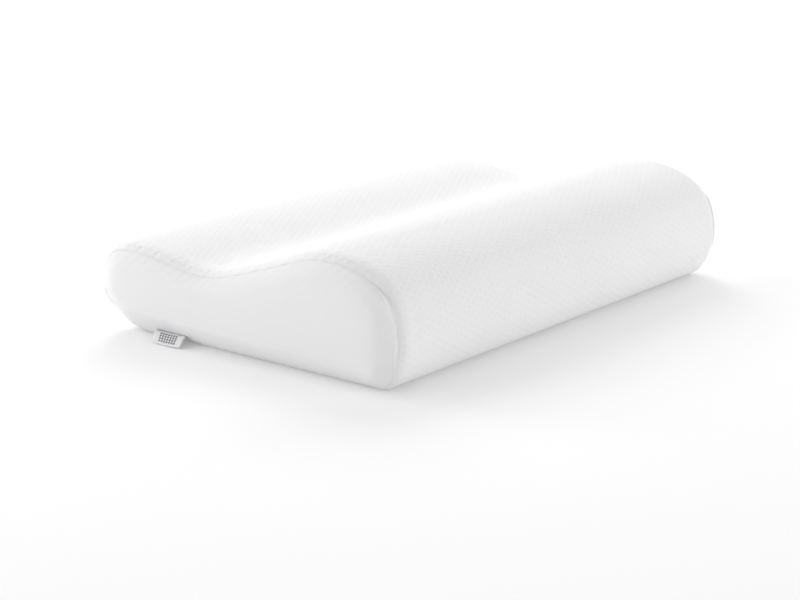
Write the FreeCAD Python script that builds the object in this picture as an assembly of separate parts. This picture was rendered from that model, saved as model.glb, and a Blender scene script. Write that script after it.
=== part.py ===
import FreeCAD, Part
import math
import os

# Contoured neck-support pillow: a moulded foam core in a thin liner, inside a knitted cover
# that comes off through a coil zip along its rear face.
# Frame: origin on the floor under the middle of the pillow. +X runs along the length, -Y faces
# the high lobe's long side, +Y faces the low lobe and the zip, +Z is up. Millimetres.

# Size of the pillow in its cover
length = 500.0
depth = 330.0
end_rounding = 18.0

# Corners of the pillow's section before they are rounded: distance back from the high lobe's
# face, and height. The rounded high lobe is 104 high, the valley 71 and the low lobe 79.
front_top_height = 92.0
crest_back = 86.0
crest_height = 108.5
valley_back = 205.0
valley_height = 65.0
low_lobe_back = 267.0
low_lobe_height = 81.0
rear_top_height = 80.0

# Radii at those corners, from the front bottom edge over the top to the rear bottom edge
front_bottom_radius = 27.0
front_top_radius = 53.0
crest_radius = 118.0
valley_radius = 146.0
low_lobe_radius = 120.0
rear_top_radius = 28.0
rear_bottom_radius = 33.0

# Layers, from the outside in
cover_thickness = 1.5
liner_thickness = 0.5
layer_gap = 0.1
rear_ease = 2.0

# Seams of the cover
seam_width = 1.2
seam_proud = 0.3
seam_angle = math.radians(45)
liner_seam_inset = 4.0

# Zip in the rear face, a narrow coil zip
zip_height = 42.2
zip_half_length = 222.0
slot_half_length = 227.0
slot_half_width = 4.2
tape_half_length = 232.0
tape_inner_edge = 0.6
tape_outer_edge = 8.4
tape_thickness = 0.5
coil_inner_edge = 0.5
coil_outer_edge = 2.3
coil_thickness = 1.6
stop_length = 2.2
stop_overhang = 0.1
stitch_row_offset = 5.6
stitch_width = 0.5
stitch_height = 0.3

# Slider and its pull
slider_length = 10.4
slider_half_width = 3.6
slider_clearance = 0.3
slider_stop_gap = 0.2
wing_thickness = 0.9
flange_width = 1.0
flange_end_gap = 0.3
post_half_width = 0.35
post_length = 3.0
bridge_half_length = 3.0
bridge_leg = 1.1
bridge_half_width = 0.8
bridge_height = 2.6
bridge_roof = 0.9
pin_radius = 0.55
pin_lift = 0.85
pull_thickness = 0.9
pull_length = 20.0
pull_ring_reach = 4.3
pull_half_width = 2.5
pull_bar_width = 1.0
pull_hole_radius = 1.2

# Folded label caught in the bottom seam of the left end
label_centre_y = 84.5
label_width = 32.0
label_thickness = 0.9
label_reach = 14.5
label_root_inset = 0.1
label_tip_height = 0.6
label_skew = 20.0

rear_face = depth / 2
front_face = -depth / 2


def vec(x, y, z):
    return FreeCAD.Vector(x, y, z)


def block(x0, x1, y0, y1, z0, z1):
    return Part.makeBox(x1 - x0, y1 - y0, z1 - z0, vec(x0, y0, z0))


def offset_corner(previous, corner, following, inset_before, inset_after):
    """Corner of the outline after its two sides have moved inwards by their insets."""
    before = (corner - previous).normalize()
    after = (following - corner).normalize()
    inward_before = vec(0, before.z, -before.y)
    inward_after = vec(0, after.z, -after.y)
    turn = before.y * after.z - before.z * after.y
    base_before = corner + inward_before * inset_before
    gap = corner + inward_after * inset_after - base_before
    along = (gap.y * after.z - gap.z * after.y) / turn
    return base_before + before * along, turn


def outline(inset, ease=0.0):
    """Closed section in the YZ plane, moved inwards by inset, and by ease more at the rear."""
    f = front_face
    corners = [
        (f, 0.0, front_bottom_radius),
        (f, front_top_height, front_top_radius),
        (f + crest_back, crest_height, crest_radius),
        (f + valley_back, valley_height, valley_radius),
        (f + low_lobe_back, low_lobe_height, low_lobe_radius),
        (rear_face, rear_top_height, rear_top_radius),
        (rear_face, 0.0, rear_bottom_radius),
    ]
    count = len(corners)
    rear_side = count - 2
    points = [vec(0, y, z) for y, z, radius in corners]
    insets = [inset + (ease if side == rear_side else 0.0) for side in range(count)]
    moved = []
    for i in range(count):
        corner, turn = offset_corner(
            points[i - 1], points[i], points[(i + 1) % count], insets[i - 1], insets[i]
        )
        convex = turn < 0
        moved.append((corner, corners[i][2] + (-inset if convex else inset)))
    arcs = []
    for i in range(count):
        corner, radius = moved[i]
        to_previous = (moved[i - 1][0] - corner).normalize()
        to_next = (moved[(i + 1) % count][0] - corner).normalize()
        half_angle = to_previous.getAngle(to_next) / 2
        run = radius / math.tan(half_angle)
        middle = (to_previous + to_next).normalize()
        depth_to_arc = radius / math.sin(half_angle) - radius
        arcs.append((corner + to_previous * run, corner + middle * depth_to_arc, corner + to_next * run))
    edges = []
    for i in range(count):
        start, mid, end = arcs[i]
        edges.append(Part.Arc(start, mid, end).toShape())
        edges.append(Part.LineSegment(end, arcs[(i + 1) % count][0]).toShape())
    return Part.Wire(edges)


def pillow_form(inset, ease=0.0):
    """Solid of the pillow's shape, moved inwards by inset, with its two end rims rounded."""
    half = length / 2 - inset
    face = Part.Face(outline(inset, ease))
    face.translate(vec(-half, 0, 0))
    solid = face.extrude(vec(2 * half, 0, 0))
    rims = []
    for edge in solid.Edges:
        box = edge.BoundBox
        if box.XLength < 1e-6:
            rims.append(edge)
    return solid.makeFillet(end_rounding - inset, rims)


def shell(outer_inset, thickness, ease=0.0):
    return pillow_form(outer_inset, ease).cut(pillow_form(outer_inset + thickness, ease))


def zone(x0, x1, z0, z1):
    """Box across the whole depth, used to cut a panel out of a shell."""
    reach = depth
    return block(x0, x1, -reach, reach, z0, z1)


# Both seams lie half way round the rounding of the rims
seam_setback = end_rounding * (1 - math.sin(seam_angle))
seam_x = length / 2 - seam_setback
base_seam_height = seam_setback
seam_half = seam_width / 2
panel_floor = base_seam_height + seam_half
far = length
tall = crest_height * 2

core_inset = cover_thickness + layer_gap + liner_thickness + layer_gap
liner_inset = cover_thickness + layer_gap

cover_inner_face = rear_face - cover_thickness
tape_inner_face = cover_inner_face - tape_thickness
coil_top = cover_inner_face + coil_thickness
top_wing_base = coil_top + slider_clearance
top_wing_top = top_wing_base + wing_thickness
low_wing_top = tape_inner_face - slider_clearance
low_wing_base = low_wing_top - wing_thickness
slider_nose = -zip_half_length + slider_stop_gap
slider_middle = slider_nose + slider_length / 2
pin_y = top_wing_top + pin_lift


def largest(shape):
    """The main solid of a cut panel, without the offcuts left where two seams meet."""
    return max(shape.Solids, key=lambda solid: solid.Volume)


def cover_shell():
    return shell(0.0, cover_thickness)


def seam_band():
    return pillow_form(-seam_proud).cut(pillow_form(cover_thickness))


def cover_wrap(skin):
    inner = seam_x - seam_half
    panel = skin.common(zone(-inner, inner, panel_floor, tall))
    slot = block(
        -slot_half_length, slot_half_length, rear_face - 3 * cover_thickness, rear_face + 1,
        zip_height - slot_half_width, zip_height + slot_half_width,
    )
    return largest(panel.cut(slot))


def cover_end(skin, side):
    x0 = seam_x + seam_half
    ends = (x0, far) if side > 0 else (-far, -x0)
    return largest(skin.common(zone(ends[0], ends[1], panel_floor, tall)))


def cover_base(skin):
    return largest(skin.common(zone(-far, far, -tall, base_seam_height - seam_half)))


def end_seam(band, side):
    x = side * seam_x
    return band.common(zone(x - seam_half, x + seam_half, panel_floor, tall))


def base_seam(band):
    return band.common(zone(-far, far, base_seam_height - seam_half, panel_floor))


def liner_sleeve(skin):
    inner = length / 2 - liner_inset - liner_seam_inset
    return skin.common(zone(-inner, inner, -tall, tall))


def liner_end(skin, side):
    x0 = length / 2 - liner_inset - liner_seam_inset
    ends = (x0, far) if side > 0 else (-far, -x0)
    return skin.common(zone(ends[0], ends[1], -tall, tall))


def zip_tape(side):
    z_near = zip_height + side * tape_inner_edge
    z_far = zip_height + side * tape_outer_edge
    z0, z1 = min(z_near, z_far), max(z_near, z_far)
    return block(-tape_half_length, tape_half_length, tape_inner_face, cover_inner_face, z0, z1)


def zip_coil(side):
    """One side of the closed coil chain as a bar with its outer edges rounded."""
    z_near = zip_height + side * coil_inner_edge
    z_far = zip_height + side * coil_outer_edge
    z0, z1 = min(z_near, z_far), max(z_near, z_far)
    bar = block(-zip_half_length, zip_half_length, cover_inner_face, coil_top, z0, z1)
    top_edges = []
    for edge in bar.Edges:
        box = edge.BoundBox
        if box.XLength > zip_half_length and box.YMin > coil_top - 0.01:
            top_edges.append(edge)
    return bar.makeFillet(coil_thickness / 3, top_edges)


def zip_stop(x0, z0, z1):
    """Metal block crimped round the end of the chain, standing a little proud of it."""
    stop = block(x0, x0 + stop_length, cover_inner_face, coil_top + stop_overhang, z0, z1)
    top_edges = []
    for edge in stop.Edges:
        if edge.BoundBox.YMin > coil_top:
            top_edges.append(edge)
    return stop.makeFillet(0.3, top_edges)


def zip_top_stops():
    """Two stops, one on each side of the chain, at the end where the zip closes."""
    x0 = -zip_half_length - stop_length
    outer = coil_outer_edge + stop_overhang
    upper = zip_stop(x0, zip_height + coil_inner_edge, zip_height + outer)
    lower = zip_stop(x0, zip_height - outer, zip_height - coil_inner_edge)
    return Part.makeCompound([upper, lower])


def zip_bottom_stop():
    outer = coil_outer_edge + stop_overhang
    return zip_stop(zip_half_length, zip_height - outer, zip_height + outer)


def zip_stitching():
    """Topstitching round the slot: two long rows and a bar tack at each end."""
    row_x = slot_half_length + 1.4
    rows = []
    for side in (-1, 1):
        z = zip_height + side * stitch_row_offset
        rows.append(block(
            -row_x, row_x, rear_face, rear_face + stitch_height,
            z - stitch_width / 2, z + stitch_width / 2,
        ))
        x = side * (row_x - stitch_width / 2)
        inside = stitch_row_offset - stitch_width
        rows.append(block(
            x - stitch_width / 2, x + stitch_width / 2, rear_face, rear_face + stitch_height,
            zip_height - inside, zip_height + inside,
        ))
    return Part.makeCompound(rows)


def slider_wing(y0, y1):
    """One plate of the slider, narrower at its tail and rounded in plan."""
    x0 = slider_nose
    x1 = slider_nose + slider_length
    wing = block(x0, x1, y0, y1, zip_height - slider_half_width, zip_height + slider_half_width)
    corners = []
    for edge in wing.Edges:
        if edge.BoundBox.YLength > (y1 - y0) / 2:
            corners.append(edge)
    return wing.makeFillet(slider_half_width * 0.45, corners)


def slider_flange(side):
    """Side wall under the top wing that keeps the chain in."""
    z_near = zip_height + side * (slider_half_width - flange_width)
    z_far = zip_height + side * slider_half_width
    z0, z1 = min(z_near, z_far), max(z_near, z_far)
    inset = slider_length * 0.2
    return block(
        slider_nose + inset, slider_nose + slider_length - inset,
        cover_inner_face + flange_end_gap, top_wing_base, z0, z1,
    )


def slider_bridge():
    """Arch over the top wing that the pull hangs in."""
    y1 = top_wing_top + bridge_height
    arch = block(
        slider_middle - bridge_half_length, slider_middle + bridge_half_length, top_wing_top, y1,
        zip_height - bridge_half_width, zip_height + bridge_half_width,
    )
    outer = []
    for edge in arch.Edges:
        box = edge.BoundBox
        if box.ZLength > bridge_half_width and box.YMin > y1 - 0.01:
            outer.append(edge)
    arch = arch.makeFillet(bridge_height / 3, outer)
    inner = bridge_half_length - bridge_leg
    eye = block(
        slider_middle - inner, slider_middle + inner, top_wing_top, y1 - bridge_roof,
        zip_height - bridge_half_width, zip_height + bridge_half_width,
    )
    return arch.cut(eye)


def zip_slider():
    post = block(
        slider_nose + 0.3, slider_nose + 0.3 + post_length, low_wing_top, top_wing_base,
        zip_height - post_half_width, zip_height + post_half_width,
    )
    slider = slider_wing(top_wing_base, top_wing_top)
    pieces = [slider_wing(low_wing_base, low_wing_top), post, slider_flange(1), slider_flange(-1)]
    pieces.append(slider_bridge())
    for piece in pieces:
        slider = slider.fuse(piece)
    return slider.removeSplitter()


def zip_pull():
    """Pull tab, lying along the chain: a pin and a ring round the bridge, then a flat plate."""
    y0 = pin_y - pull_thickness / 2
    y1 = pin_y + pull_thickness / 2
    x0 = slider_middle
    inner = bridge_half_width + 0.5
    outer = inner + pull_bar_width
    pin = Part.makeCylinder(pin_radius, 2 * outer, vec(x0, pin_y, zip_height - outer), vec(0, 0, 1))
    plate = block(
        x0 + pull_ring_reach, x0 + pull_length, y0, y1,
        zip_height - pull_half_width, zip_height + pull_half_width,
    )
    tip_corners = []
    for edge in plate.Edges:
        if edge.BoundBox.YLength > pull_thickness / 2:
            tip_corners.append(edge)
    plate = plate.makeFillet(pull_half_width * 0.6, tip_corners)
    hole_x = x0 + pull_length - 2.2 * pull_hole_radius
    hole = Part.makeCylinder(pull_hole_radius, pull_thickness, vec(hole_x, y0, zip_height), vec(0, 1, 0))
    pull = plate.cut(hole).fuse(pin)
    for side in (-1, 1):
        z_near = zip_height + side * inner
        z_far = zip_height + side * outer
        z0, z1 = min(z_near, z_far), max(z_near, z_far)
        pull = pull.fuse(block(x0, x0 + pull_ring_reach + 1.0, y0, y1, z0, z1))
    return pull.removeSplitter()


def side_label():
    """Folded woven tab: it leaves the bottom seam and bends down to lie near the floor."""
    root_x = -seam_x - label_root_inset
    top = base_seam_height + label_thickness / 2
    tip_x = root_x - label_reach
    mid_x = root_x - label_reach * 0.5
    mid_z = base_seam_height * 0.55
    upper = Part.Arc(vec(root_x, 0, top), vec(mid_x, 0, mid_z + label_thickness),
                     vec(tip_x, 0, label_tip_height + label_thickness)).toShape()
    lower = Part.Arc(vec(root_x, 0, top - label_thickness), vec(mid_x, 0, mid_z),
                     vec(tip_x, 0, label_tip_height)).toShape()
    fold = Part.Arc(vec(tip_x, 0, label_tip_height),
                    vec(tip_x - label_thickness / 2, 0, label_tip_height + label_thickness / 2),
                    vec(tip_x, 0, label_tip_height + label_thickness)).toShape()
    root = Part.LineSegment(vec(root_x, 0, top), vec(root_x, 0, top - label_thickness)).toShape()
    face = Part.Face(Part.Wire([upper, fold, lower, root]))
    face.rotate(vec(root_x, 0, 0), vec(0, 0, 1), label_skew)
    face.translate(vec(0, label_centre_y - label_width / 2, 0))
    return face.extrude(vec(0, label_width, 0))


def foam_core():
    return pillow_form(core_inset, rear_ease)


def make_parts():
    skin = cover_shell()
    band = seam_band()
    liner = shell(liner_inset, liner_thickness, rear_ease)
    return {
        "foam_core": foam_core(),
        "liner_sleeve": liner_sleeve(liner),
        "liner_end_left": liner_end(liner, -1),
        "liner_end_right": liner_end(liner, 1),
        "cover_wrap": cover_wrap(skin),
        "cover_end_left": cover_end(skin, -1),
        "cover_end_right": cover_end(skin, 1),
        "cover_base": cover_base(skin),
        "end_seam_left": end_seam(band, -1),
        "end_seam_right": end_seam(band, 1),
        "base_seam": base_seam(band),
        "zip_tape_upper": zip_tape(1),
        "zip_tape_lower": zip_tape(-1),
        "zip_coil_upper": zip_coil(1),
        "zip_coil_lower": zip_coil(-1),
        "zip_top_stops": zip_top_stops(),
        "zip_bottom_stop": zip_bottom_stop(),
        "zip_stitching": zip_stitching(),
        "zip_slider": zip_slider(),
        "zip_pull": zip_pull(),
        "side_label": side_label(),
    }


for name, shape in make_parts().items():
    shape.exportStep("parts/" + name + ".step")
    box = shape.optimalBoundingBox()
    print(
        f"{name:18s} solids {len(shape.Solids):2d}  valid {shape.isValid()}  {shape.Volume / 1000:9.2f} cm3"
        f"  x {box.XMin:8.2f} {box.XMax:8.2f}  y {box.YMin:8.2f} {box.YMax:8.2f}"
        f"  z {box.ZMin:7.2f} {box.ZMax:7.2f}"
    )
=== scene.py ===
import math

import bmesh
import bpy
from mathutils import Matrix, Vector, kdtree, noise
from mathutils.bvhtree import BVHTree


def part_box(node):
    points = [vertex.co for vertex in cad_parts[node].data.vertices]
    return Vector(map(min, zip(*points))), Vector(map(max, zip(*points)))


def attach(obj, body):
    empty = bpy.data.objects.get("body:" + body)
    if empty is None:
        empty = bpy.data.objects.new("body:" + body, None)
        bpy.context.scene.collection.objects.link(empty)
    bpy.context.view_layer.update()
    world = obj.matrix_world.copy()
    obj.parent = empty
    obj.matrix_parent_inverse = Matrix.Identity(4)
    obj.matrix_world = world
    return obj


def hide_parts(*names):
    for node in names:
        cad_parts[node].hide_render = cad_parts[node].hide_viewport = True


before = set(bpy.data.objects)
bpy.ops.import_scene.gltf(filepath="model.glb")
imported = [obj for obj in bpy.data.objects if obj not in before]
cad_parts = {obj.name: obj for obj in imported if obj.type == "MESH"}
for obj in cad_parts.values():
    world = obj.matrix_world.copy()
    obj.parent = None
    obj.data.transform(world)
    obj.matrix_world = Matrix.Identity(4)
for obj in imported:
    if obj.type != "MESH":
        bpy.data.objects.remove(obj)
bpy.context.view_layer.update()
mm = 0.001


def middleOf(*nodes):
    return sum((sum(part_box(n), Vector()) / 2 for n in nodes), Vector()) / len(nodes)


zipMiddle = middleOf("zip_coil_upper", "zip_coil_lower")
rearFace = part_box("cover_wrap")[1].y
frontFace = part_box("cover_wrap")[0].y
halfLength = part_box("cover_end_right")[1].x

pillow = {
    # control points of the section, from the front bottom edge up and over to the rear: back from
    # the front face, height
    "section": [(30, 0), (21, 0), (10, 10), (-3, 34), (6, 84), (44, 103), (90, 107), (132, 91), (170, 79),
                (210, 67), (251, 77), (290, 82), (324, 79), (334, 39), (318, 2), (284, 0), (160, 0), (60, 0)],
    "seamHeight": 2.0 * mm,
    "rim": 20 * mm,
    "bottomRimFront": 14 * mm,
    "bottomRimRear": 24 * mm,
    "bottomFlat": 1.6,              # above 1 the rims underneath are flatter than a round
    "turnReach": 18 * mm,           # how early the rims start to turn towards a corner of the section
    "column": 4.8 * mm,
    "columns": 50,
    "evenColumns": 43,
    "slotColumns": 47,
    "slotHalf": 4.2 * mm,
    "zipFlat": (7 * mm, 16 * mm),   # the zip flattens the rear face this near, and lets go this far
    "rowsOver": 101,
    "rowsSlot": 2,
    "rowsBelow": 8,
    "rowsUnder": 75,
    # how far round the rim the seam lies, in degrees: sides and top, underneath
    "seamAngle": (45, 20),
    "rimRings": 3,
    "relax": 5,
    "sideRows": 18,
}

swell = {
    "pressure": 4.0,
    "stiffness": 20,
    "quality": 4,
    "frames": 20,
    "cap": 1.6 * mm,          # a longer move counts as this much
    "setback": 0.8 * mm,      # how much of a full move is taken back
}


def smooth(low, high, value):
    t = min(max((value - low) / (high - low), 0.0), 1.0)
    return t * t * (3 - 2 * t)


def newMaterial(name, base, roughness, sheen=0.0):
    material = bpy.data.materials.new(name)
    material.use_nodes = True
    shader = material.node_tree.nodes["Principled BSDF"]
    shader.inputs["Base Color"].default_value = (*base, 1)
    shader.inputs["Roughness"].default_value = roughness
    if sheen:
        shader.inputs["Sheen Weight"].default_value = sheen
        shader.inputs["Sheen Roughness"].default_value = 0.5
    return material


# a short way to write a material's nodes
class Nodes:
    def __init__(self, material):
        self.tree = material.node_tree
        self.shader = self.tree.nodes["Principled BSDF"]

    def node(self, kind, inputs=(), **settings):
        made = self.tree.nodes.new(kind)
        for key, value in settings.items():
            setattr(made, key, value)
        for socket, value in dict(inputs).items():
            if isinstance(value, bpy.types.NodeSocket):
                self.tree.links.new(value, made.inputs[socket])
            else:
                made.inputs[socket].default_value = value
        return made

    def math(self, operation, *values):
        made = self.node("ShaderNodeMath", dict(enumerate(values)), operation=operation)
        return made.outputs[0]

    def bump(self, height, strength, distance, normal=None):
        inputs = {"Height": height, "Strength": strength, "Distance": distance}
        if normal:
            inputs["Normal"] = normal
        return self.node("ShaderNodeBump", inputs).outputs[0]

    def mix(self, factor, low, high):
        made = self.node("ShaderNodeMix", {0: factor, 6: low, 7: high}, data_type="RGBA")
        return made.outputs[2]


knit = {
    "colour": (0.86, 0.86, 0.865),
    # the darker colour stands for painted shade in the loops and dimples, and for random tone
    "shadeAndToneColour": (0.70, 0.70, 0.71),
    "wale": 0.95,                # width of one column of loops, in millimetres
    "course": 0.75,              # height of one loop
    "loopDepth": 0.16 * mm,
    "fuzzDepth": 0.05 * mm,
}


# knitted jersey: columns of V-shaped loops on the piece's own map, which is in millimetres; painted shade
# darkens the colour where the loops sink and in the dimples, and a soft cloud varies the tone at random
def knitMaterial(name, colour, shadeAndToneColour, loopStrength):
    material = newMaterial(name, colour, 1.0, 0.06)
    n = Nodes(material)
    n.shader.inputs["Specular IOR Level"].default_value = 0.25
    place = n.node("ShaderNodeUVMap", uv_map="cloth").outputs[0]
    across, along, _ = n.node("ShaderNodeSeparateXYZ", {0: place}).outputs
    wale = n.math("DIVIDE", across, knit["wale"])
    side = n.math("ABSOLUTE", n.math("SUBTRACT", n.math("FRACT", wale), 0.5))
    rib = n.math("SINE", n.math("MULTIPLY", side, 2 * math.pi))
    course = n.math("ADD", n.math("DIVIDE", along, knit["course"]), n.math("MULTIPLY", side, 1.4))
    loop = n.math("SINE", n.math("MULTIPLY", course, 2 * math.pi))
    loop = n.math("MULTIPLY_ADD", loop, 0.3, 0.7)
    height = n.math("MULTIPLY", rib, loop)
    fuzz = n.node("ShaderNodeTexNoise", {
        "Vector": n.node("ShaderNodeTexCoord").outputs["Object"], "Scale": 2600.0, "Detail": 2.0,
    }).outputs[0]
    cloud = n.node("ShaderNodeTexNoise", {
        "Vector": n.node("ShaderNodeTexCoord").outputs["Object"], "Scale": 18.0, "Detail": 3.0,
    }).outputs[0]
    normal = n.bump(height, loopStrength, knit["loopDepth"])
    normal = n.bump(fuzz, 0.35, knit["fuzzDepth"], normal)
    n.tree.links.new(normal, n.shader.inputs["Normal"])
    # painted shade: the tuckShade attribute darkens the colour in the dimples
    tuckShade = n.node("ShaderNodeAttribute", attribute_name="tuckShade").outputs["Fac"]
    # painted shade where the loops sink, plus a random cloud of tone
    shade = n.math("MULTIPLY_ADD", height, -0.12, 0.12)
    shade = n.math("ADD", shade, n.math("MULTIPLY_ADD", cloud, 0.16, -0.08))
    shade = n.math("ADD", shade, tuckShade)
    colourMix = n.mix(shade, (*colour, 1), (*shadeAndToneColour, 1))
    n.tree.links.new(colourMix, n.shader.inputs["Base Color"])
    return material


# plain weave on Object coordinates, for tapes, labels and the liner; its hollows are darker, as painted shade
def clothMaterial(name, colour, pitch, depth):
    material = newMaterial(name, colour, 0.85, 0.08)
    n = Nodes(material)
    place = n.node("ShaderNodeTexCoord").outputs["Object"]
    warp = n.node("ShaderNodeTexWave", {
        "Vector": place, "Scale": 0.314 / pitch, "Distortion": 0.4, "Detail": 1.0,
    }, bands_direction="X").outputs[1]
    weft = n.node("ShaderNodeTexWave", {
        "Vector": place, "Scale": 0.314 / pitch, "Distortion": 0.4, "Detail": 1.0,
    }, bands_direction="Z").outputs[1]
    weave = n.math("MULTIPLY", warp, weft)
    n.tree.links.new(n.bump(weave, 0.7, depth), n.shader.inputs["Normal"])
    # painted shade: the weave's hollows take the darker colour
    weaveShadeColour = tuple(c * 0.86 for c in colour)
    n.tree.links.new(n.mix(weave, (*weaveShadeColour, 1), (*colour, 1)), n.shader.inputs["Base Color"])
    return material


# open-cell foam: cream, with fine pores that are darker inside as painted shade
def foamMaterial():
    material = newMaterial("foam", (0.88, 0.84, 0.72), 0.95)
    n = Nodes(material)
    place = n.node("ShaderNodeTexCoord").outputs["Object"]
    cells = n.node("ShaderNodeTexVoronoi", {"Vector": place, "Scale": 900.0}).outputs["Distance"]
    n.tree.links.new(n.bump(cells, 0.6, 0.4 * mm), n.shader.inputs["Normal"])
    # painted shade: the pores take the darker colour
    colour = n.mix(cells, (0.74, 0.69, 0.56, 1), (0.9, 0.86, 0.75, 1))
    n.tree.links.new(colour, n.shader.inputs["Base Color"])
    return material


# white lacquer over die-cast zinc, worn a little in scattered patches
def metalMaterial():
    material = newMaterial("zipMetal", (0.82, 0.82, 0.83), 0.28)
    material.node_tree.nodes["Principled BSDF"].inputs["Coat Weight"].default_value = 0.4
    n = Nodes(material)
    place = n.node("ShaderNodeTexCoord").outputs["Object"]
    grain = n.node("ShaderNodeTexNoise", {"Vector": place, "Scale": 900.0, "Detail": 3.0}).outputs[0]
    worn = n.node("ShaderNodeMapRange", {0: grain, 1: 0.62, 2: 0.7}).outputs[0]
    n.tree.links.new(n.mix(worn, (0.82, 0.82, 0.83, 1), (0.5, 0.5, 0.52, 1)), n.shader.inputs["Base Color"])
    n.tree.links.new(n.math("MULTIPLY_ADD", grain, 0.18, 0.2), n.shader.inputs["Roughness"])
    n.tree.links.new(n.bump(grain, 0.15, 0.05 * mm), n.shader.inputs["Normal"])
    return material


def nylonMaterial():
    material = newMaterial("zipNylon", (0.84, 0.84, 0.85), 0.38)
    n = Nodes(material)
    place = n.node("ShaderNodeTexCoord").outputs["Object"]
    grain = n.node("ShaderNodeTexNoise", {"Vector": place, "Scale": 1500.0}).outputs[0]
    n.tree.links.new(n.math("MULTIPLY_ADD", grain, 0.2, 0.28), n.shader.inputs["Roughness"])
    colour = n.mix(grain, (0.8, 0.8, 0.81, 1), (0.88, 0.88, 0.89, 1))
    n.tree.links.new(colour, n.shader.inputs["Base Color"])
    return material


# spun thread: fine slanting plies, darker in the grooves between them as painted shade
def threadMaterial():
    material = newMaterial("seamThread", (0.86, 0.86, 0.87), 0.7, 0.1)
    n = Nodes(material)
    place = n.node("ShaderNodeTexCoord").outputs["Object"]
    ply = n.node("ShaderNodeTexWave", {"Vector": place, "Scale": 600.0, "Distortion": 1.5},
                 bands_direction="DIAGONAL").outputs[1]
    n.tree.links.new(n.bump(ply, 0.5, 0.1 * mm), n.shader.inputs["Normal"])
    # painted shade: the grooves between the plies take the darker colour
    colour = n.mix(ply, (0.76, 0.76, 0.77, 1), (0.88, 0.88, 0.89, 1))
    n.tree.links.new(colour, n.shader.inputs["Base Color"])
    return material


labelPrint = {
    "threadPitch": 0.5,
    "halfLozenge": (1.5, 1.2),      # across the label and outwards, in millimetres
    "fullness": 1.55,
    "bandMiddle": (18.0, 18.0),
    "bandHalf": (10.5, 4.8),
}


# woven satin tab: a pale field with a band of small grey lozenges, in millimetres of its own map
def labelMaterial():
    material = newMaterial("labelSatin", (0.8, 0.8, 0.81), 0.45, 0.1)
    n = Nodes(material)
    place = n.node("ShaderNodeUVMap", uv_map="cloth").outputs[0]
    across, out, _ = n.node("ShaderNodeSeparateXYZ", {0: place}).outputs
    turns = 2 * math.pi / labelPrint["threadPitch"]
    threads = n.math("SINE", n.math("MULTIPLY", n.math("ADD", across, out), turns))
    wide, tall = labelPrint["halfLozenge"]
    lozenge = n.math("ADD", n.math("PINGPONG", across, wide), n.math("PINGPONG", out, tall))
    middleAcross, middleOut = labelPrint["bandMiddle"]
    halfAcross, halfOut = labelPrint["bandHalf"]
    inWidth = n.math("COMPARE", across, middleAcross, halfAcross)
    inBand = n.math("COMPARE", out, middleOut, halfOut)
    filled = n.math("LESS_THAN", lozenge, labelPrint["fullness"])
    marked = n.math("MULTIPLY", n.math("MULTIPLY", inBand, inWidth), filled)
    base = n.mix(n.math("MULTIPLY_ADD", threads, 0.1, 0.1), (0.8, 0.8, 0.81, 1), (0.66, 0.66, 0.68, 1))
    n.tree.links.new(n.mix(marked, base, (0.22, 0.22, 0.24, 1)), n.shader.inputs["Base Color"])
    n.tree.links.new(n.bump(threads, 0.5, 0.06 * mm), n.shader.inputs["Normal"])
    return material


materials = {
    "wrap": knitMaterial("wrapKnit", knit["colour"], knit["shadeAndToneColour"], 0.6),
    "end": knitMaterial("endKnit", (0.84, 0.84, 0.845), (0.74, 0.74, 0.75), 0.35),
    "base": knitMaterial("baseKnit", (0.82, 0.82, 0.825), (0.7, 0.7, 0.71), 0.5),
    "liner": clothMaterial("linerJersey", (0.84, 0.84, 0.83), 0.6 * mm, 0.1 * mm),
    "tape": clothMaterial("zipTape", (0.84, 0.84, 0.85), 0.5 * mm, 0.12 * mm),
    "foam": foamMaterial(),
    "metal": metalMaterial(),
    "nylon": nylonMaterial(),
    "thread": threadMaterial(),
    "label": labelMaterial(),
}
print("materials made:", len(materials))


# the section as a smooth closed line, starting at the front bottom seam and going up
def denseSection():
    curve = bpy.data.curves.new("section", "CURVE")
    curve.dimensions = "3D"
    curve.resolution_u = 24
    spline = curve.splines.new("NURBS")
    spline.points.add(len(pillow["section"]) - 1)
    for point, (back, height) in zip(spline.points, pillow["section"]):
        point.co = (0, frontFace + back * mm, height * mm, 1)
    spline.use_cyclic_u = True
    spline.order_u = 4
    holder = bpy.data.objects.new("section", curve)
    mesh = bpy.data.meshes.new_from_object(holder)
    line = [v.co.copy() for v in mesh.vertices]
    bpy.data.objects.remove(holder)
    near, far = pillow["zipFlat"]
    for p in line:
        p.z = max(p.z, 0)
        if p.y > rearFace * 0.7:
            hold = 1 - smooth(near, far, abs(p.z - zipMiddle.z))
            p.y += (rearFace - p.y) * hold
    height = pillow["seamHeight"]
    for i, p in enumerate(line):
        q = line[i - 1]
        if p.y < 0 and q.z < height <= p.z:
            start = q.lerp(p, (height - q.z) / (p.z - q.z))
            return [start] + line[i:] + line[:i]


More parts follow.
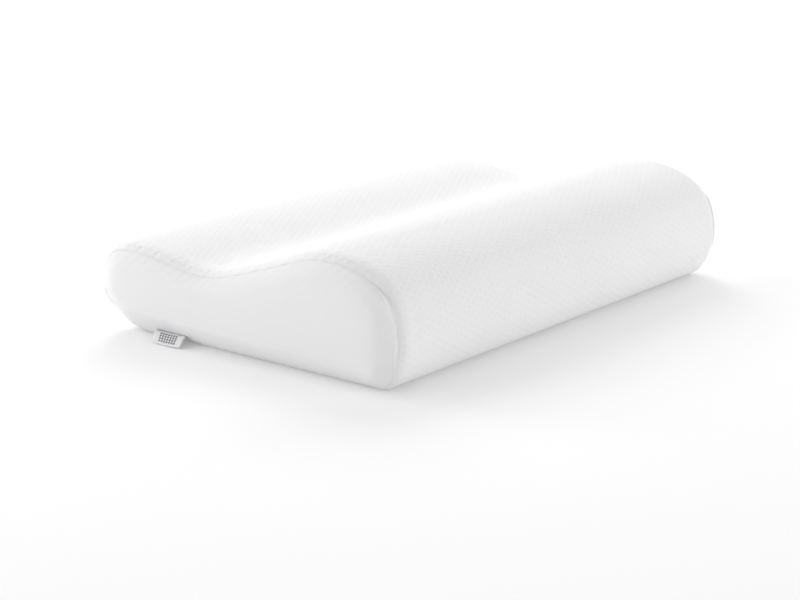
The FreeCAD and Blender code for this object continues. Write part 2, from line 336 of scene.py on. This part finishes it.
# the closed section line, read by the distance along it
class Section:
    def __init__(self, line):
        self.line = line + [line[0]]
        self.reach = [0.0]
        for a, b in zip(self.line, self.line[1:]):
            self.reach.append(self.reach[-1] + (b - a).length)
        self.length = self.reach[-1]

    def at(self, s):
        s = s % self.length
        low, high = 0, len(self.reach) - 1
        while high - low > 1:
            mid = (low + high) // 2
            if self.reach[mid] <= s:
                low = mid
            else:
                high = mid
        t = (s - self.reach[low]) / max(self.reach[high] - self.reach[low], 1e-12)
        return self.line[low].lerp(self.line[high], t)

    # the way the line faces; a long step turns gently round a tight corner
    def outward(self, s, step=2 * mm):
        along = self.at(s + step) - self.at(s - step)
        return Vector((0, -along.z, along.y)).normalized()

    # distance at which the line, on its way down the rear, passes a height
    def rearCrossing(self, height):
        for i, (a, b) in enumerate(zip(self.line, self.line[1:])):
            if a.y > rearFace * 0.6 and a.z >= height > b.z:
                return self.reach[i] + (self.reach[i + 1] - self.reach[i]) * (a.z - height) / (a.z - b.z)


section = Section(denseSection())


def spread(start, end, count):
    return [start + (end - start) * i / count for i in range(count)]


slotTop = section.rearCrossing(zipMiddle.z + pillow["slotHalf"])
slotLow = section.rearCrossing(zipMiddle.z - pillow["slotHalf"])
rearSeam = section.rearCrossing(pillow["seamHeight"])
rowReach = (spread(0, slotTop, pillow["rowsOver"]) + spread(slotTop, slotLow, pillow["rowsSlot"])
            + spread(slotLow, rearSeam, pillow["rowsBelow"])
            + spread(rearSeam, section.length, pillow["rowsUnder"]))
rowCount = len(rowReach)
seamRow = rowCount - pillow["rowsUnder"]
slotRow = pillow["rowsOver"]
rowPoint = [section.at(s) for s in rowReach]
rowOut = [section.outward(s, pillow["turnReach"]) for s in rowReach]


# radius of the end's rim: one value round the sides and top, and a growing one underneath
def rimRadius(place, out):
    back = (place.y - frontFace) / (rearFace - frontFace)
    under = pillow["bottomRimFront"] + (pillow["bottomRimRear"] - pillow["bottomRimFront"]) * back
    share = smooth(0.2, 0.8, -out.z)
    return pillow["rim"] * (1 - share) + under * share


def seamAngle(out):
    share = smooth(0.2, 0.9, -out.z)
    aside, under = pillow["seamAngle"]
    return math.radians(aside + (under - aside) * share)


seamRing = pillow["columns"] + 1
lastRing = seamRing + pillow["rimRings"]


# a point of the end's rim, and the way it faces
def onRim(side, angle, place, out):
    rim = rimRadius(place, out)
    flat = 1 + (pillow["bottomFlat"] - 1) * smooth(0.2, 0.8, -out.z)
    p = place - out * rim * (1 - math.cos(angle) ** flat)
    face = out * math.cos(angle) + Vector((side * math.sin(angle), 0, 0))
    return Vector((side * (halfLength - rim + rim * math.sin(angle) ** flat), p.y, p.z)), face


def onSeam(side, s):
    out = section.outward(s, pillow["turnReach"])
    return onRim(side, seamAngle(out), section.at(s), out)


# where a ring's point lies: along the straight part, or round the rim of an end
def placeOnForm(ring, row):
    side = 1 if ring > 0 else -1
    place, out = rowPoint[row], rowOut[row]
    rim = rimRadius(place, out)
    straight = halfLength - rim
    k = abs(ring)
    seam = seamAngle(out)
    if k > seamRing:
        angle = seam + (math.pi / 2 - seam) * (k - seamRing) / pillow["rimRings"]
        return onRim(side, angle, place, out)[0], 0
    along = k * pillow["column"]
    even = pillow["evenColumns"]
    if k > even:                # the last columns share out what is left before the seam
        start = even * pillow["column"]
        along = start + (straight + rim * seam - start) * (k - even) / (seamRing - even)
    if along <= straight:
        return Vector((side * along, place.y, place.z)), along
    return onRim(side, (along - straight) / rim, place, out)[0], along


# closed mesh of the whole pillow: the section pulled out along its length, and its ends filled
def makeForm():
    mesh = bmesh.new()
    rowMark = mesh.verts.layers.int.new("row")
    ringMark = mesh.verts.layers.int.new("ring")
    first = []
    for row in range(rowCount):
        vert = mesh.verts.new(rowPoint[row])
        vert[rowMark] = row
        vert[ringMark] = -lastRing
        first.append(vert)
    edges = [mesh.edges.new((first[i], first[(i + 1) % rowCount])) for i in range(rowCount)]
    for ring in range(-lastRing + 1, lastRing + 1):
        grown = bmesh.ops.extrude_edge_only(mesh, edges=edges)["geom"]
        edges = [g for g in grown if isinstance(g, bmesh.types.BMEdge)]
        for g in grown:
            if isinstance(g, bmesh.types.BMVert):
                g[ringMark] = ring
    for vert in mesh.verts:
        vert.co = placeOnForm(vert[ringMark], vert[rowMark])[0]
    side = pillow["sideRows"]
    rails = (range(side, seamRow - side), range(seamRow, rowCount))
    for end in (-1, 1):
        made = {v[rowMark]: v for v in mesh.verts if v[ringMark] == end * lastRing}
        rail = []
        for rows in rails:
            for row in rows:
                rail.append(mesh.edges.get((made[row], made[(row + 1) % rowCount])))
        before = set(mesh.verts)
        bmesh.ops.grid_fill(mesh, edges=rail, use_smooth=True)
        for vert in mesh.verts:
            if vert not in before:
                vert[ringMark] = end * (lastRing + 1)
                vert[rowMark] = -1
    bmesh.ops.recalc_face_normals(mesh, faces=mesh.faces)
    ends = [v for v in mesh.verts if abs(v[ringMark]) > seamRing]
    axes = {"use_axis_x": True, "use_axis_y": True, "use_axis_z": True}
    for i in range(pillow["relax"]):
        bmesh.ops.smooth_vert(mesh, verts=ends, factor=0.5, **axes)
    if mesh.calc_volume(signed=True) < 0:
        bmesh.ops.reverse_faces(mesh, faces=mesh.faces)
    mesh.verts.index_update()
    mesh.normal_update()
    return mesh, rowMark, ringMark


form, rowMark, ringMark = makeForm()
panelNames = ["wrap", "slot", "endLeft", "endRight", "base"]
panelMark = form.faces.layers.int.new("panel")
clothMap = form.loops.layers.uv.new("cloth")
print("form:", len(form.verts), "points,", rowCount, "rows")


# which panel of the cover a face of the form belongs to
def panelOf(rings, rows):
    if max(rings) > seamRing:
        return "endRight"
    if min(rings) < -seamRing:
        return "endLeft"
    row = min(rows)
    if row == 0 and max(rows) > 1:
        row = rowCount - 1
    if row >= seamRow:
        return "base"
    if slotRow <= row < slotRow + pillow["rowsSlot"] and max(map(abs, rings)) <= pillow["slotColumns"]:
        return "slot"
    return "wrap"


# marks each face with its panel, and lays the cloth's own map in millimetres
for face in form.faces:
    panel = panelOf([v[ringMark] for v in face.verts], [v[rowMark] for v in face.verts])
    face[panelMark] = panelNames.index(panel)
    for loop in face.loops:
        ring, row = loop.vert[ringMark], loop.vert[rowMark]
        if panel.startswith("end"):
            loop[clothMap].uv = (loop.vert.co.y / mm, loop.vert.co.z / mm)
            continue
        around = section.length if panel == "base" and row == 0 else rowReach[row]
        along = placeOnForm(ring, row)[1]
        loop[clothMap].uv = ((along if ring > 0 else -along) / mm, around / mm)


# how firmly a point is held while the cover swells: seams, base and zip don't move
def sewnShare(vert):
    ring, row = abs(vert[ringMark]), vert[rowMark]
    if row < 0 or (ring > seamRing and row < seamRow):
        return 0.0
    if ring == seamRing or row == 0 or row >= seamRow:
        return 1.0
    nearSlot = slotRow - 1 <= row <= slotRow + pillow["rowsSlot"] + 1
    return 1.0 if nearSlot and ring <= pillow["slotColumns"] + 1 else 0.0


# blows the sewn cover up like a filled bag, and gives where its points end up
def swellForm():
    mesh = bpy.data.meshes.new("swelling")
    form.to_mesh(mesh)
    holder = bpy.data.objects.new("swelling", mesh)
    bpy.context.scene.collection.objects.link(holder)
    group = holder.vertex_groups.new(name="sewn")
    for vert in form.verts:
        if sewnShare(vert):
            group.add([vert.index], 1.0, "REPLACE")
    cloth = holder.modifiers.new("cloth", "CLOTH")
    cloth.settings.quality = swell["quality"]
    cloth.settings.vertex_group_mass = "sewn"
    cloth.settings.use_pressure = True
    cloth.settings.uniform_pressure_force = swell["pressure"]
    cloth.settings.effector_weights.gravity = 0
    cloth.settings.tension_stiffness = swell["stiffness"]
    cloth.settings.compression_stiffness = swell["stiffness"]
    cloth.collision_settings.use_collision = False
    scene = bpy.context.scene
    for step in range(1, swell["frames"] + 1):
        scene.frame_set(step)
    done = holder.evaluated_get(bpy.context.evaluated_depsgraph_get())
    moved = [v.co.copy() for v in done.data.vertices]
    scene.frame_set(1)
    bpy.data.objects.remove(holder)
    return moved


form.verts.ensure_lookup_table()
restForm = form.copy()      # the unswollen form: the foam and the liner are made from it
furthest = 0.0
for vert, target in zip(form.verts, swellForm()):
    move = max((target - vert.co).dot(vert.normal), 0)
    furthest = max(furthest, move)
    move = min(move, swell["cap"])
    vert.co += vert.normal * (move - swell["setback"] * move / swell["cap"])
print("cover swelled; furthest move before the cap:", round(furthest / mm, 2), "mm")


def newPiece(name, mesh, material, slot, *nodes, body="pillow"):
    made = bpy.data.objects.new(name, mesh)
    bpy.context.scene.collection.objects.link(made)
    mesh.materials.clear()
    mesh.materials.append(material)
    for face in mesh.polygons:
        face.use_smooth = True
    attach(made, body)
    if nodes:
        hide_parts(*nodes)
    return made


# the piece's mesh with its modifiers applied
def applyModifiers(piece):
    made = bpy.data.meshes.new_from_object(piece.evaluated_get(bpy.context.evaluated_depsgraph_get()))
    old = piece.data
    piece.modifiers.clear()
    piece.data = made
    bpy.data.meshes.remove(old)


def addThickness(piece, thickness):
    wall = piece.modifiers.new("thickness", "SOLIDIFY")
    wall.thickness = thickness
    wall.offset = -1
    applyModifiers(piece)


# the whole form, subdivided, as a new bmesh
def dividedForm(source, levels):
    mesh = bpy.data.meshes.new("divided")
    source.to_mesh(mesh)
    holder = bpy.data.objects.new("divided", mesh)
    bpy.context.scene.collection.objects.link(holder)
    divide = holder.modifiers.new("divide", "SUBSURF")
    divide.levels = divide.render_levels = levels
    divide.uv_smooth = "NONE"
    applyModifiers(holder)
    work = bmesh.new()
    work.from_mesh(holder.data)
    bpy.data.objects.remove(holder)
    return work


# a copy of a form that keeps only some panels
def keepPanels(source, *names):
    part = source.copy()
    mark = part.faces.layers.int["panel"]
    unwanted = [face for face in part.faces if panelNames[face[mark]] not in names]
    bmesh.ops.delete(part, geom=unwanted, context="FACES")
    part.normal_update()
    return part


def meshFrom(work, name):
    mesh = bpy.data.meshes.new(name)
    work.to_mesh(mesh)
    work.free()
    return mesh


dimple = {
    "acrossSteps": 12.0,      # repeat along the length, in millimetres
    "aroundSteps": 6.0,       # repeat round the section, in steps of the fine mesh
    "radius": 1.75,
    "depth": 0.45 * mm,
    "puff": 0.1 * mm,
    # how dark the dimples are painted, as shade
    "shade": 0.22,
}
fineStep = slotTop / pillow["rowsOver"] / 4 / mm

seamShape = {
    "groove": 0.2 * mm, "grooveWidth": 2.8 * mm,
    "frontGroove": 1.5 * mm,
    "frontLip": 0.1 * mm,
    "crease": 1.0 * mm, "creaseWidth": 3.5 * mm,
    "slotGroove": 0.4 * mm,
    "roll": 0.45 * mm, "rollAt": 9 * mm, "rollWidth": 6 * mm,
    "hollow": 2.2 * mm, "hollowAt": 8 * mm, "hollowWidth": 10 * mm,
    "gather": 0.15 * mm, "gatherPitch": 11 * mm, "gatherReach": 12 * mm,
    "sag": 0.5 * mm, "sagSize": 70 * mm,
    "ridgeFoot": (18 * mm, 34 * mm),        # heights over which the front ridge rises
    "ridgeTop": (92 * mm, 72 * mm),         # and dies away
    "ridgeBack": (75 * mm, 30 * mm),        # distances behind the front face, likewise
    "creaseFoot": (70 * mm, 80 * mm),
    "creaseTop": (100 * mm, 92 * mm),
    "creaseBack": (60 * mm, 30 * mm),
}


def bell(value, centre, width):
    return math.exp(-((value - centre) / width) ** 2)


# how deep the dimpled knit is tucked in at a place, from 0 to 1
def tuckDepth(across, around):
    u = across / dimple["acrossSteps"]
    v = around / (fineStep * dimple["aroundSteps"])
    depth = 0.0
    for shift in (0.0, 0.5):
        du = ((u + shift + 0.5) % 1.0 - 0.5) * dimple["acrossSteps"]
        dv = ((v + shift + 0.5) % 1.0 - 0.5) * fineStep * dimple["aroundSteps"]
        depth += math.exp(-(du * du + dv * dv) / dimple["radius"] ** 2)
    return depth


# 1 along the front corner of an end, where the seam stands out most, and less elsewhere
def frontShare(place):
    upright = smooth(*seamShape["ridgeFoot"], place.z) * smooth(*seamShape["ridgeTop"], place.z)
    return smooth(*seamShape["ridgeBack"], place.y - frontFace) * upright


# 1 where the seam turns from the top into the front corner, and pulls a crease into the cloth
def creaseShare(place):
    high = smooth(*seamShape["creaseFoot"], place.z) * smooth(*seamShape["creaseTop"], place.z)
    return high * smooth(*seamShape["creaseBack"], place.y - frontFace)


def borderTree(work, wanted):
    points = [v.co.copy() for v in work.verts if v.is_boundary and nearSlotEdge(v.co) == wanted]
    tree = kdtree.KDTree(max(len(points), 1))
    for i, co in enumerate(points):
        tree.insert(co, i)
    tree.balance()
    return tree


def nearSlotEdge(place):
    inReach = abs(place.z - zipMiddle.z) < pillow["slotHalf"] * 1.5
    return inReach and place.y > rearFace - 4 * mm and abs(place.x) < halfLength - pillow["rim"]


# shapes a panel's dimples, its edges at the seams, its gathers and its slight sag, and stores the painted
# shade of its dimples
def shapePanel(work, kind):
    cloth = work.loops.layers.uv["cloth"]
    tuckShadeLayer = work.verts.layers.float.new("tuckShade")
    seams, slot = borderTree(work, False), borderTree(work, True)
    shape = seamShape
    moves = []
    for v in work.verts:
        gap = seams.find(v.co)[2]
        slotGap = slot.find(v.co)[2] if kind == "wrap" else None
        slotGap = 1.0 if slotGap is None else slotGap
        front = frontShare(v.co)
        atFront = shape["frontGroove"] if kind == "wrap" else -shape["frontLip"]
        groove = shape["groove"] + (atFront - shape["groove"]) * front
        out = -groove * bell(gap, 0, shape["grooveWidth"])
        out -= shape["crease"] * creaseShare(v.co) * bell(gap, 0, shape["creaseWidth"])
        out -= shape["slotGroove"] * bell(slotGap, 0, shape["grooveWidth"])
        if kind == "end":
            out -= shape["hollow"] * bell(gap, shape["hollowAt"], shape["hollowWidth"]) * front
        elif kind == "wrap":
            out += shape["roll"] * bell(gap, shape["rollAt"], shape["rollWidth"]) * (0.5 + 0.5 * front)
        along = v.co.y + v.co.z if abs(v.co.x) > halfLength * 0.9 else v.co.x
        gather = math.sin(along / shape["gatherPitch"] * 2 * math.pi + 3 * noise.noise(v.co * 20))
        out += shape["gather"] * gather * math.exp(-gap / shape["gatherReach"])
        fade = smooth(0, 5 * mm, min(gap, slotGap))
        if kind != "base":
            out += shape["sag"] * noise.noise(v.co / shape["sagSize"]) * fade
        deep = 0.0
        if kind == "wrap":
            uv = v.link_loops[0][cloth].uv
            uneven = 0.85 + 0.3 * noise.noise(v.co * 60)
            deep = tuckDepth(uv.x, uv.y) * uneven * (0.2 + 0.8 * fade)
            out += (dimple["puff"] - dimple["depth"] * deep) * fade
        # painted shade: the deeper a dimple, the darker it is painted
        v[tuckShadeLayer] = deep * dimple["shade"]
        moves.append((v, v.normal * out))
    for v, move in moves:
        v.co += move
        v.co.z = max(v.co.z, 0)


coverWall = 1.2 * mm
fine = dividedForm(form, 2)
coarse = dividedForm(form, 1)
panels = [
    ("coverWrap", fine, "wrap", "wrap", "knit", "cover_wrap"),
    ("coverEndLeft", fine, "endLeft", "end", "side_knit", "cover_end_left"),
    ("coverEndRight", fine, "endRight", "end", "side_knit", "cover_end_right"),
    ("coverBase", coarse, "base", "base", "base_knit", "cover_base"),
]
for name, source, panel, kind, slot, node in panels:
    work = keepPanels(source, panel)
    shapePanel(work, kind)
    piece = newPiece(name, meshFrom(work, name), materials[kind], slot, node)
    addThickness(piece, coverWall)
    print(name, len(piece.data.polygons), "faces")


inside = {"linerDepth": 4.8 * mm, "linerWall": 0.4 * mm, "foamDepth": 5.4 * mm}


# a copy of the unswollen form, drawn in by a distance
def insetForm(distance):
    work = restForm.copy()
    work.normal_update()
    for v, out in [(v, v.normal.copy()) for v in work.verts]:
        v.co -= out * distance
        v.co.z = max(v.co.z, distance / 2)
    return work


linerForm = insetForm(inside["linerDepth"])
linerPanels = [
    ("linerSleeve", ("wrap", "slot", "base"), "liner_sleeve"),
    ("linerEndLeft", ("endLeft",), "liner_end_left"),
    ("linerEndRight", ("endRight",), "liner_end_right"),
]
for name, parts, node in linerPanels:
    mesh = meshFrom(keepPanels(linerForm, *parts), name)
    piece = newPiece(name, mesh, materials["liner"], "liner_jersey", node)
    addThickness(piece, inside["linerWall"])
foamForm = dividedForm(insetForm(inside["foamDepth"]), 1)
foamPiece = newPiece("foamCore", meshFrom(foamForm, "foamCore"), materials["foam"], "foam", "foam_core")
print("foam and liner made")


thread = {
    "step": 0.65 * mm,
    "plain": 0.4 * mm, "raised": 1.1 * mm,      # radius of the sewn roll, and where it stands out
    "sunk": 0.6 * mm, "proud": 1.2 * mm,        # below the fabric's face, or above it
    "stitch": 2.6 * mm, "pinch": 0.1,
}


# places along an end's seam, and the way each faces, from one reach of the section to another
def rimPath(side, start, end):
    count = max(int(abs(end - start) / thread["step"]), 2)
    reaches = [start + (end - start) * i / count for i in range(count + 1)]
    return [onSeam(side, s) for s in reaches]


# places along the bottom seam of the front or rear, from one end's rim to the other's
def straightPath(s):
    place, out = section.at(s), section.outward(s, pillow["turnReach"])
    rim = rimRadius(place, out)
    turn = [seamAngle(out) * i / 8 for i in range(8, 0, -1)]
    left = [onRim(-1, angle, place, out) for angle in turn]
    right = [onRim(1, angle, place, out) for angle in reversed(turn)]
    straight = halfLength - rim
    count = int(2 * straight / thread["step"])
    middle = [(Vector((straight * (2 * i / count - 1), place.y, place.z)), out) for i in range(count + 1)]
    return left + middle + right


# a sewn roll of fabric along a path, pinched at each stitch
def seamRoll(name, path, closed, node):
    curve = bpy.data.curves.new(name, "CURVE")
    curve.dimensions = "3D"
    curve.bevel_depth = 1.0
    curve.bevel_resolution = 2
    curve.use_fill_caps = not closed
    spline = curve.splines.new("POLY")
    spline.points.add(len(path) - 1)
    spline.use_cyclic_u = closed
    reach = 0.0
    last = path[0][0]
    for point, (place, out) in zip(spline.points, path):
        reach += (place - last).length
        last = place
        share = frontShare(place) if not closed else 0.0
        pinch = 1 - thread["pinch"] * (1 + math.cos(reach / thread["stitch"] * 2 * math.pi))
        point.radius = (thread["plain"] + (thread["raised"] - thread["plain"]) * share) * pinch
        lift = thread["proud"] * share - thread["sunk"] * (1 - share)
        lift -= seamShape["crease"] * creaseShare(place)
        place = place + out * lift
        point.co = (place.x, place.y, max(place.z, point.radius), 1)
    holder = bpy.data.objects.new(name, curve)
    mesh = bpy.data.meshes.new_from_object(holder)
    bpy.data.objects.remove(holder)
    mesh.name = name
    return newPiece(name, mesh, materials["thread"], "seam_thread", node)


for side, name, node in ((-1, "seamLeft", "end_seam_left"), (1, "seamRight", "end_seam_right")):
    seamRoll(name, rimPath(side, 0, rearSeam), False, node)
baseLoop = straightPath(0)
baseLoop += rimPath(1, section.length, rearSeam)[1:-1]
baseLoop += straightPath(rearSeam)[::-1]
baseLoop += rimPath(-1, rearSeam, section.length)[1:-1]
seamRoll("seamBase", baseLoop, True, "base_seam")
print("seams sewn")


zipper = {
    "pitch": 1.25 * mm,
    "wire": 0.3 * mm,
    "turnPoints": 8,
    "stitchPitch": 3.0 * mm,
    "stitchSize": (1.2 * mm, 0.22 * mm, 0.26 * mm),
}


# half of the chain: a nylon spiral, flattened on its tape
def makeCoil(name, node):
    low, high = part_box(node)
    wire = zipper["wire"]
    middle = (low + high) / 2
    halfHeight, halfDepth = (high.z - low.z) / 2 - wire, (high.y - low.y) / 2 - wire
    turns = int((high.x - low.x) / zipper["pitch"])
    count = turns * zipper["turnPoints"]
    curve = bpy.data.curves.new(name, "CURVE")
    curve.dimensions = "3D"
    curve.bevel_depth = wire
    curve.bevel_resolution = 1
    curve.use_fill_caps = True
    spline = curve.splines.new("POLY")
    spline.points.add(count)
    for i, point in enumerate(spline.points):
        angle = 2 * math.pi * i / zipper["turnPoints"]
        x = low.x + wire + (high.x - low.x - 2 * wire) * i / count
        point.co = (x, middle.y + halfDepth * math.sin(angle), middle.z + halfHeight * math.cos(angle), 1)
    holder = bpy.data.objects.new(name, curve)
    mesh = bpy.data.meshes.new_from_object(holder)
    bpy.data.objects.remove(holder)
    mesh.name = name
    return newPiece(name, mesh, materials["nylon"], "zip_nylon", node)


makeCoil("coilUpper", "zip_coil_upper")
makeCoil("coilLower", "zip_coil_lower")


# single stitches along the rectangle sewn round the zip, each laid on the fabric
def makeStitches():
    low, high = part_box("zip_stitching")
    wrap = bpy.data.objects["coverWrap"]
    points = [v.co for v in wrap.data.vertices]
    surface = BVHTree.FromPolygons(points, [p.vertices for p in wrap.data.polygons])
    edge = 0.25 * mm
    left, right, bottom, top = low.x + edge, high.x - edge, low.z + edge, high.z - edge
    corners = [(left, bottom), (right, bottom), (right, top), (left, top)]
    size = zipper["stitchSize"]
    work = bmesh.new()
    for i, (x0, z0) in enumerate(corners):
        x1, z1 = corners[(i + 1) % 4]
        count = round(math.hypot(x1 - x0, z1 - z0) / zipper["stitchPitch"])
        turn = Matrix.Rotation(-math.atan2(z1 - z0, x1 - x0), 4, "Y")
        for k in range(count):
            t = (k + 0.5) / count
            x, z = x0 + (x1 - x0) * t, z0 + (z1 - z0) * t
            y = surface.ray_cast(Vector((x, rearFace + 20 * mm, z)), Vector((0, -1, 0)))[0].y
            place = Matrix.Translation((x, y + size[1] / 2, z)) @ turn @ Matrix.Diagonal((*size, 1))
            bmesh.ops.create_uvsphere(work, u_segments=6, v_segments=5, radius=1, matrix=place)
    return newPiece("zipStitches", meshFrom(work, "zipStitches"), materials["thread"], "seam_thread",
                    "zip_stitching")


makeStitches()

cadFinish = {
    "zip_tape_upper": "tape", "zip_tape_lower": "tape", "zip_top_stops": "metal", "zip_bottom_stop": "metal",
    "zip_slider": "metal", "zip_pull": "metal",
}
for node, finish in cadFinish.items():
    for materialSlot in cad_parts[node].material_slots:
        materialSlot.material = materials[finish]
print("zip made")


label = {
    "centre": middleOf("side_label").y + 6.5 * mm,
    "width": 35 * mm,
    "taper": 0.2,
    # distance out from the seam and height: over the top to the fold, and back under
    "profile": [(-1.0, 2.0), (2.0, 5.0), (5.5, 8.0), (9.5, 8.6), (13.5, 6.0), (16.5, 2.9), (18.5, 1.7),
                (19.2, 1.2), (18.5, 0.8), (16.0, 1.9), (12.8, 4.8), (9.5, 7.3), (6.0, 6.8), (2.5, 4.0),
                (-1.0, 1.2)],
    "skew": math.tan(math.radians(20)),
    "wall": 0.3 * mm,
    "columns": 16,
    "curl": 0.5 * mm,
}


# the seam's place at the label, on the left end's bottom run
def labelRoot():
    runs = [onSeam(-1, s)[0] for s in spread(rearSeam, section.length, 300)]
    return min(runs, key=lambda p: abs(p.y - label["centre"]))


# folded woven tab that leaves the bottom seam and bends down to the floor
def makeLabel():
    curve = bpy.data.curves.new("labelLine", "CURVE")
    curve.dimensions = "3D"
    curve.resolution_u = 6
    spline = curve.splines.new("NURBS")
    spline.points.add(len(label["profile"]) - 1)
    for point, (out, height) in zip(spline.points, label["profile"]):
        point.co = (out * mm, 0, height * mm, 1)
    spline.order_u = 3
    spline.use_endpoint_u = True
    holder = bpy.data.objects.new("labelLine", curve)
    line = bpy.data.meshes.new_from_object(holder)
    bpy.data.objects.remove(holder)
    work = bmesh.new()
    work.from_mesh(line)
    cloth = work.loops.layers.uv.new("cloth")
    reach = work.verts.layers.float.new("reach")
    work.verts.ensure_lookup_table()
    for i in range(1, len(work.verts)):
        v, last = work.verts[i], work.verts[i - 1]
        v[reach] = last[reach] + (v.co - last.co).length / mm
    edges = list(work.edges)
    for i in range(label["columns"]):
        grown = bmesh.ops.extrude_edge_only(work, edges=edges)["geom"]
        edges = [g for g in grown if isinstance(g, bmesh.types.BMEdge)]
        moved = [g for g in grown if isinstance(g, bmesh.types.BMVert)]
        bmesh.ops.translate(work, verts=moved, vec=(0, label["width"] / label["columns"], 0))
    for face in work.faces:
        for loop in face.loops:
            loop[cloth].uv = (loop.vert.co.y / mm, loop.vert[reach])
    root = labelRoot()
    for v in work.verts:
        out, across, height = v.co.x, v.co.y - label["width"] / 2, v.co.z
        curl = label["curl"] * (2 * across / label["width"]) ** 2 * smooth(0, 12 * mm, out)
        across *= 1 + label["taper"] * (0.5 - out / (20 * mm))
        v.co = (root.x - out, root.y + across - out * label["skew"], height + curl)
    bmesh.ops.recalc_face_normals(work, faces=work.faces)
    mesh = meshFrom(work, "sideLabel")
    piece = newPiece("sideLabel", mesh, materials["label"], "label_satin", "side_label")
    addThickness(piece, label["wall"])
    return piece


makeLabel()
print("label made")


view = {
    "azimuth": -52.2, "elevation": 15.04,
    "distance": 1.892, "lens": 94.5,
    "aim": (-0.0264, 0.0066, 0.0052),
}

# a plain pale floor; the even glow keeps the shade under the edges pale
stageFloor = {"paleness": 0.75, "glow": 0.16}
floorMesh = bmesh.new()
bmesh.ops.create_grid(floorMesh, x_segments=1, y_segments=1, size=6)
floorData = bpy.data.meshes.new("floor")
floorMesh.to_mesh(floorData)
floor = bpy.data.objects.new("floor", floorData)
bpy.context.scene.collection.objects.link(floor)
floorPaint = newMaterial("paleFloor", (stageFloor["paleness"],) * 3, 0.9)
floorShader = floorPaint.node_tree.nodes["Principled BSDF"]
floorShader.inputs["Emission Color"].default_value = (1, 1, 1, 1)
floorShader.inputs["Emission Strength"].default_value = stageFloor["glow"]
floorData.materials.append(floorPaint)


lights = {
    # place, size across and power of each soft light
    "backLow": ((-0.6, 2.3, 1.0), 1.4, 15),
    "backHigh": ((-0.6, 2.0, 1.5), 1.6, 6),
    "rightBack": ((1.4, 1.4, 1.6), 1.6, 26),
    "rightLow": ((2.3, 0.3, 1.0), 1.4, 10),
    "leftBack": ((-2.0, 1.4, 0.85), 1.4, 13),
    "frontLow": ((0.9, -2.4, 0.5), 1.2, 19),
    "overhead": ((0, 0, 2.5), 1.6, 5),
}
worldStrength = 0.585


def softLight(name, place, size, power):
    data = bpy.data.lights.new(name, "AREA")
    data.shape = "DISK"
    data.size = size
    data.energy = power
    lamp = bpy.data.objects.new(name, data)
    lamp.location = place
    lamp.rotation_euler = (Vector((0, 0, 0.05)) - Vector(place)).to_track_quat("-Z", "Y").to_euler()
    bpy.context.scene.collection.objects.link(lamp)


for name, (place, size, power) in lights.items():
    softLight(name, place, size, power)

world = bpy.data.worlds.new("studio")
world.use_nodes = True
world.node_tree.nodes["Background"].inputs[0].default_value = (1, 1, 1, 1)
world.node_tree.nodes["Background"].inputs[1].default_value = worldStrength
bpy.context.scene.world = world
bpy.context.scene.view_settings.view_transform = "Standard"

azimuth, elevation = math.radians(view["azimuth"]), math.radians(view["elevation"])
back = Vector((math.sin(azimuth) * math.cos(elevation), -math.cos(azimuth) * math.cos(elevation),
               math.sin(elevation)))
cameraData = bpy.data.cameras.new("camera")
cameraData.lens = view["lens"]
camera = bpy.data.objects.new("camera", cameraData)
camera.location = Vector(view["aim"]) + back * view["distance"]
camera.rotation_euler = back.to_track_quat("Z", "Y").to_euler()
bpy.context.scene.collection.objects.link(camera)
bpy.context.scene.camera = camera
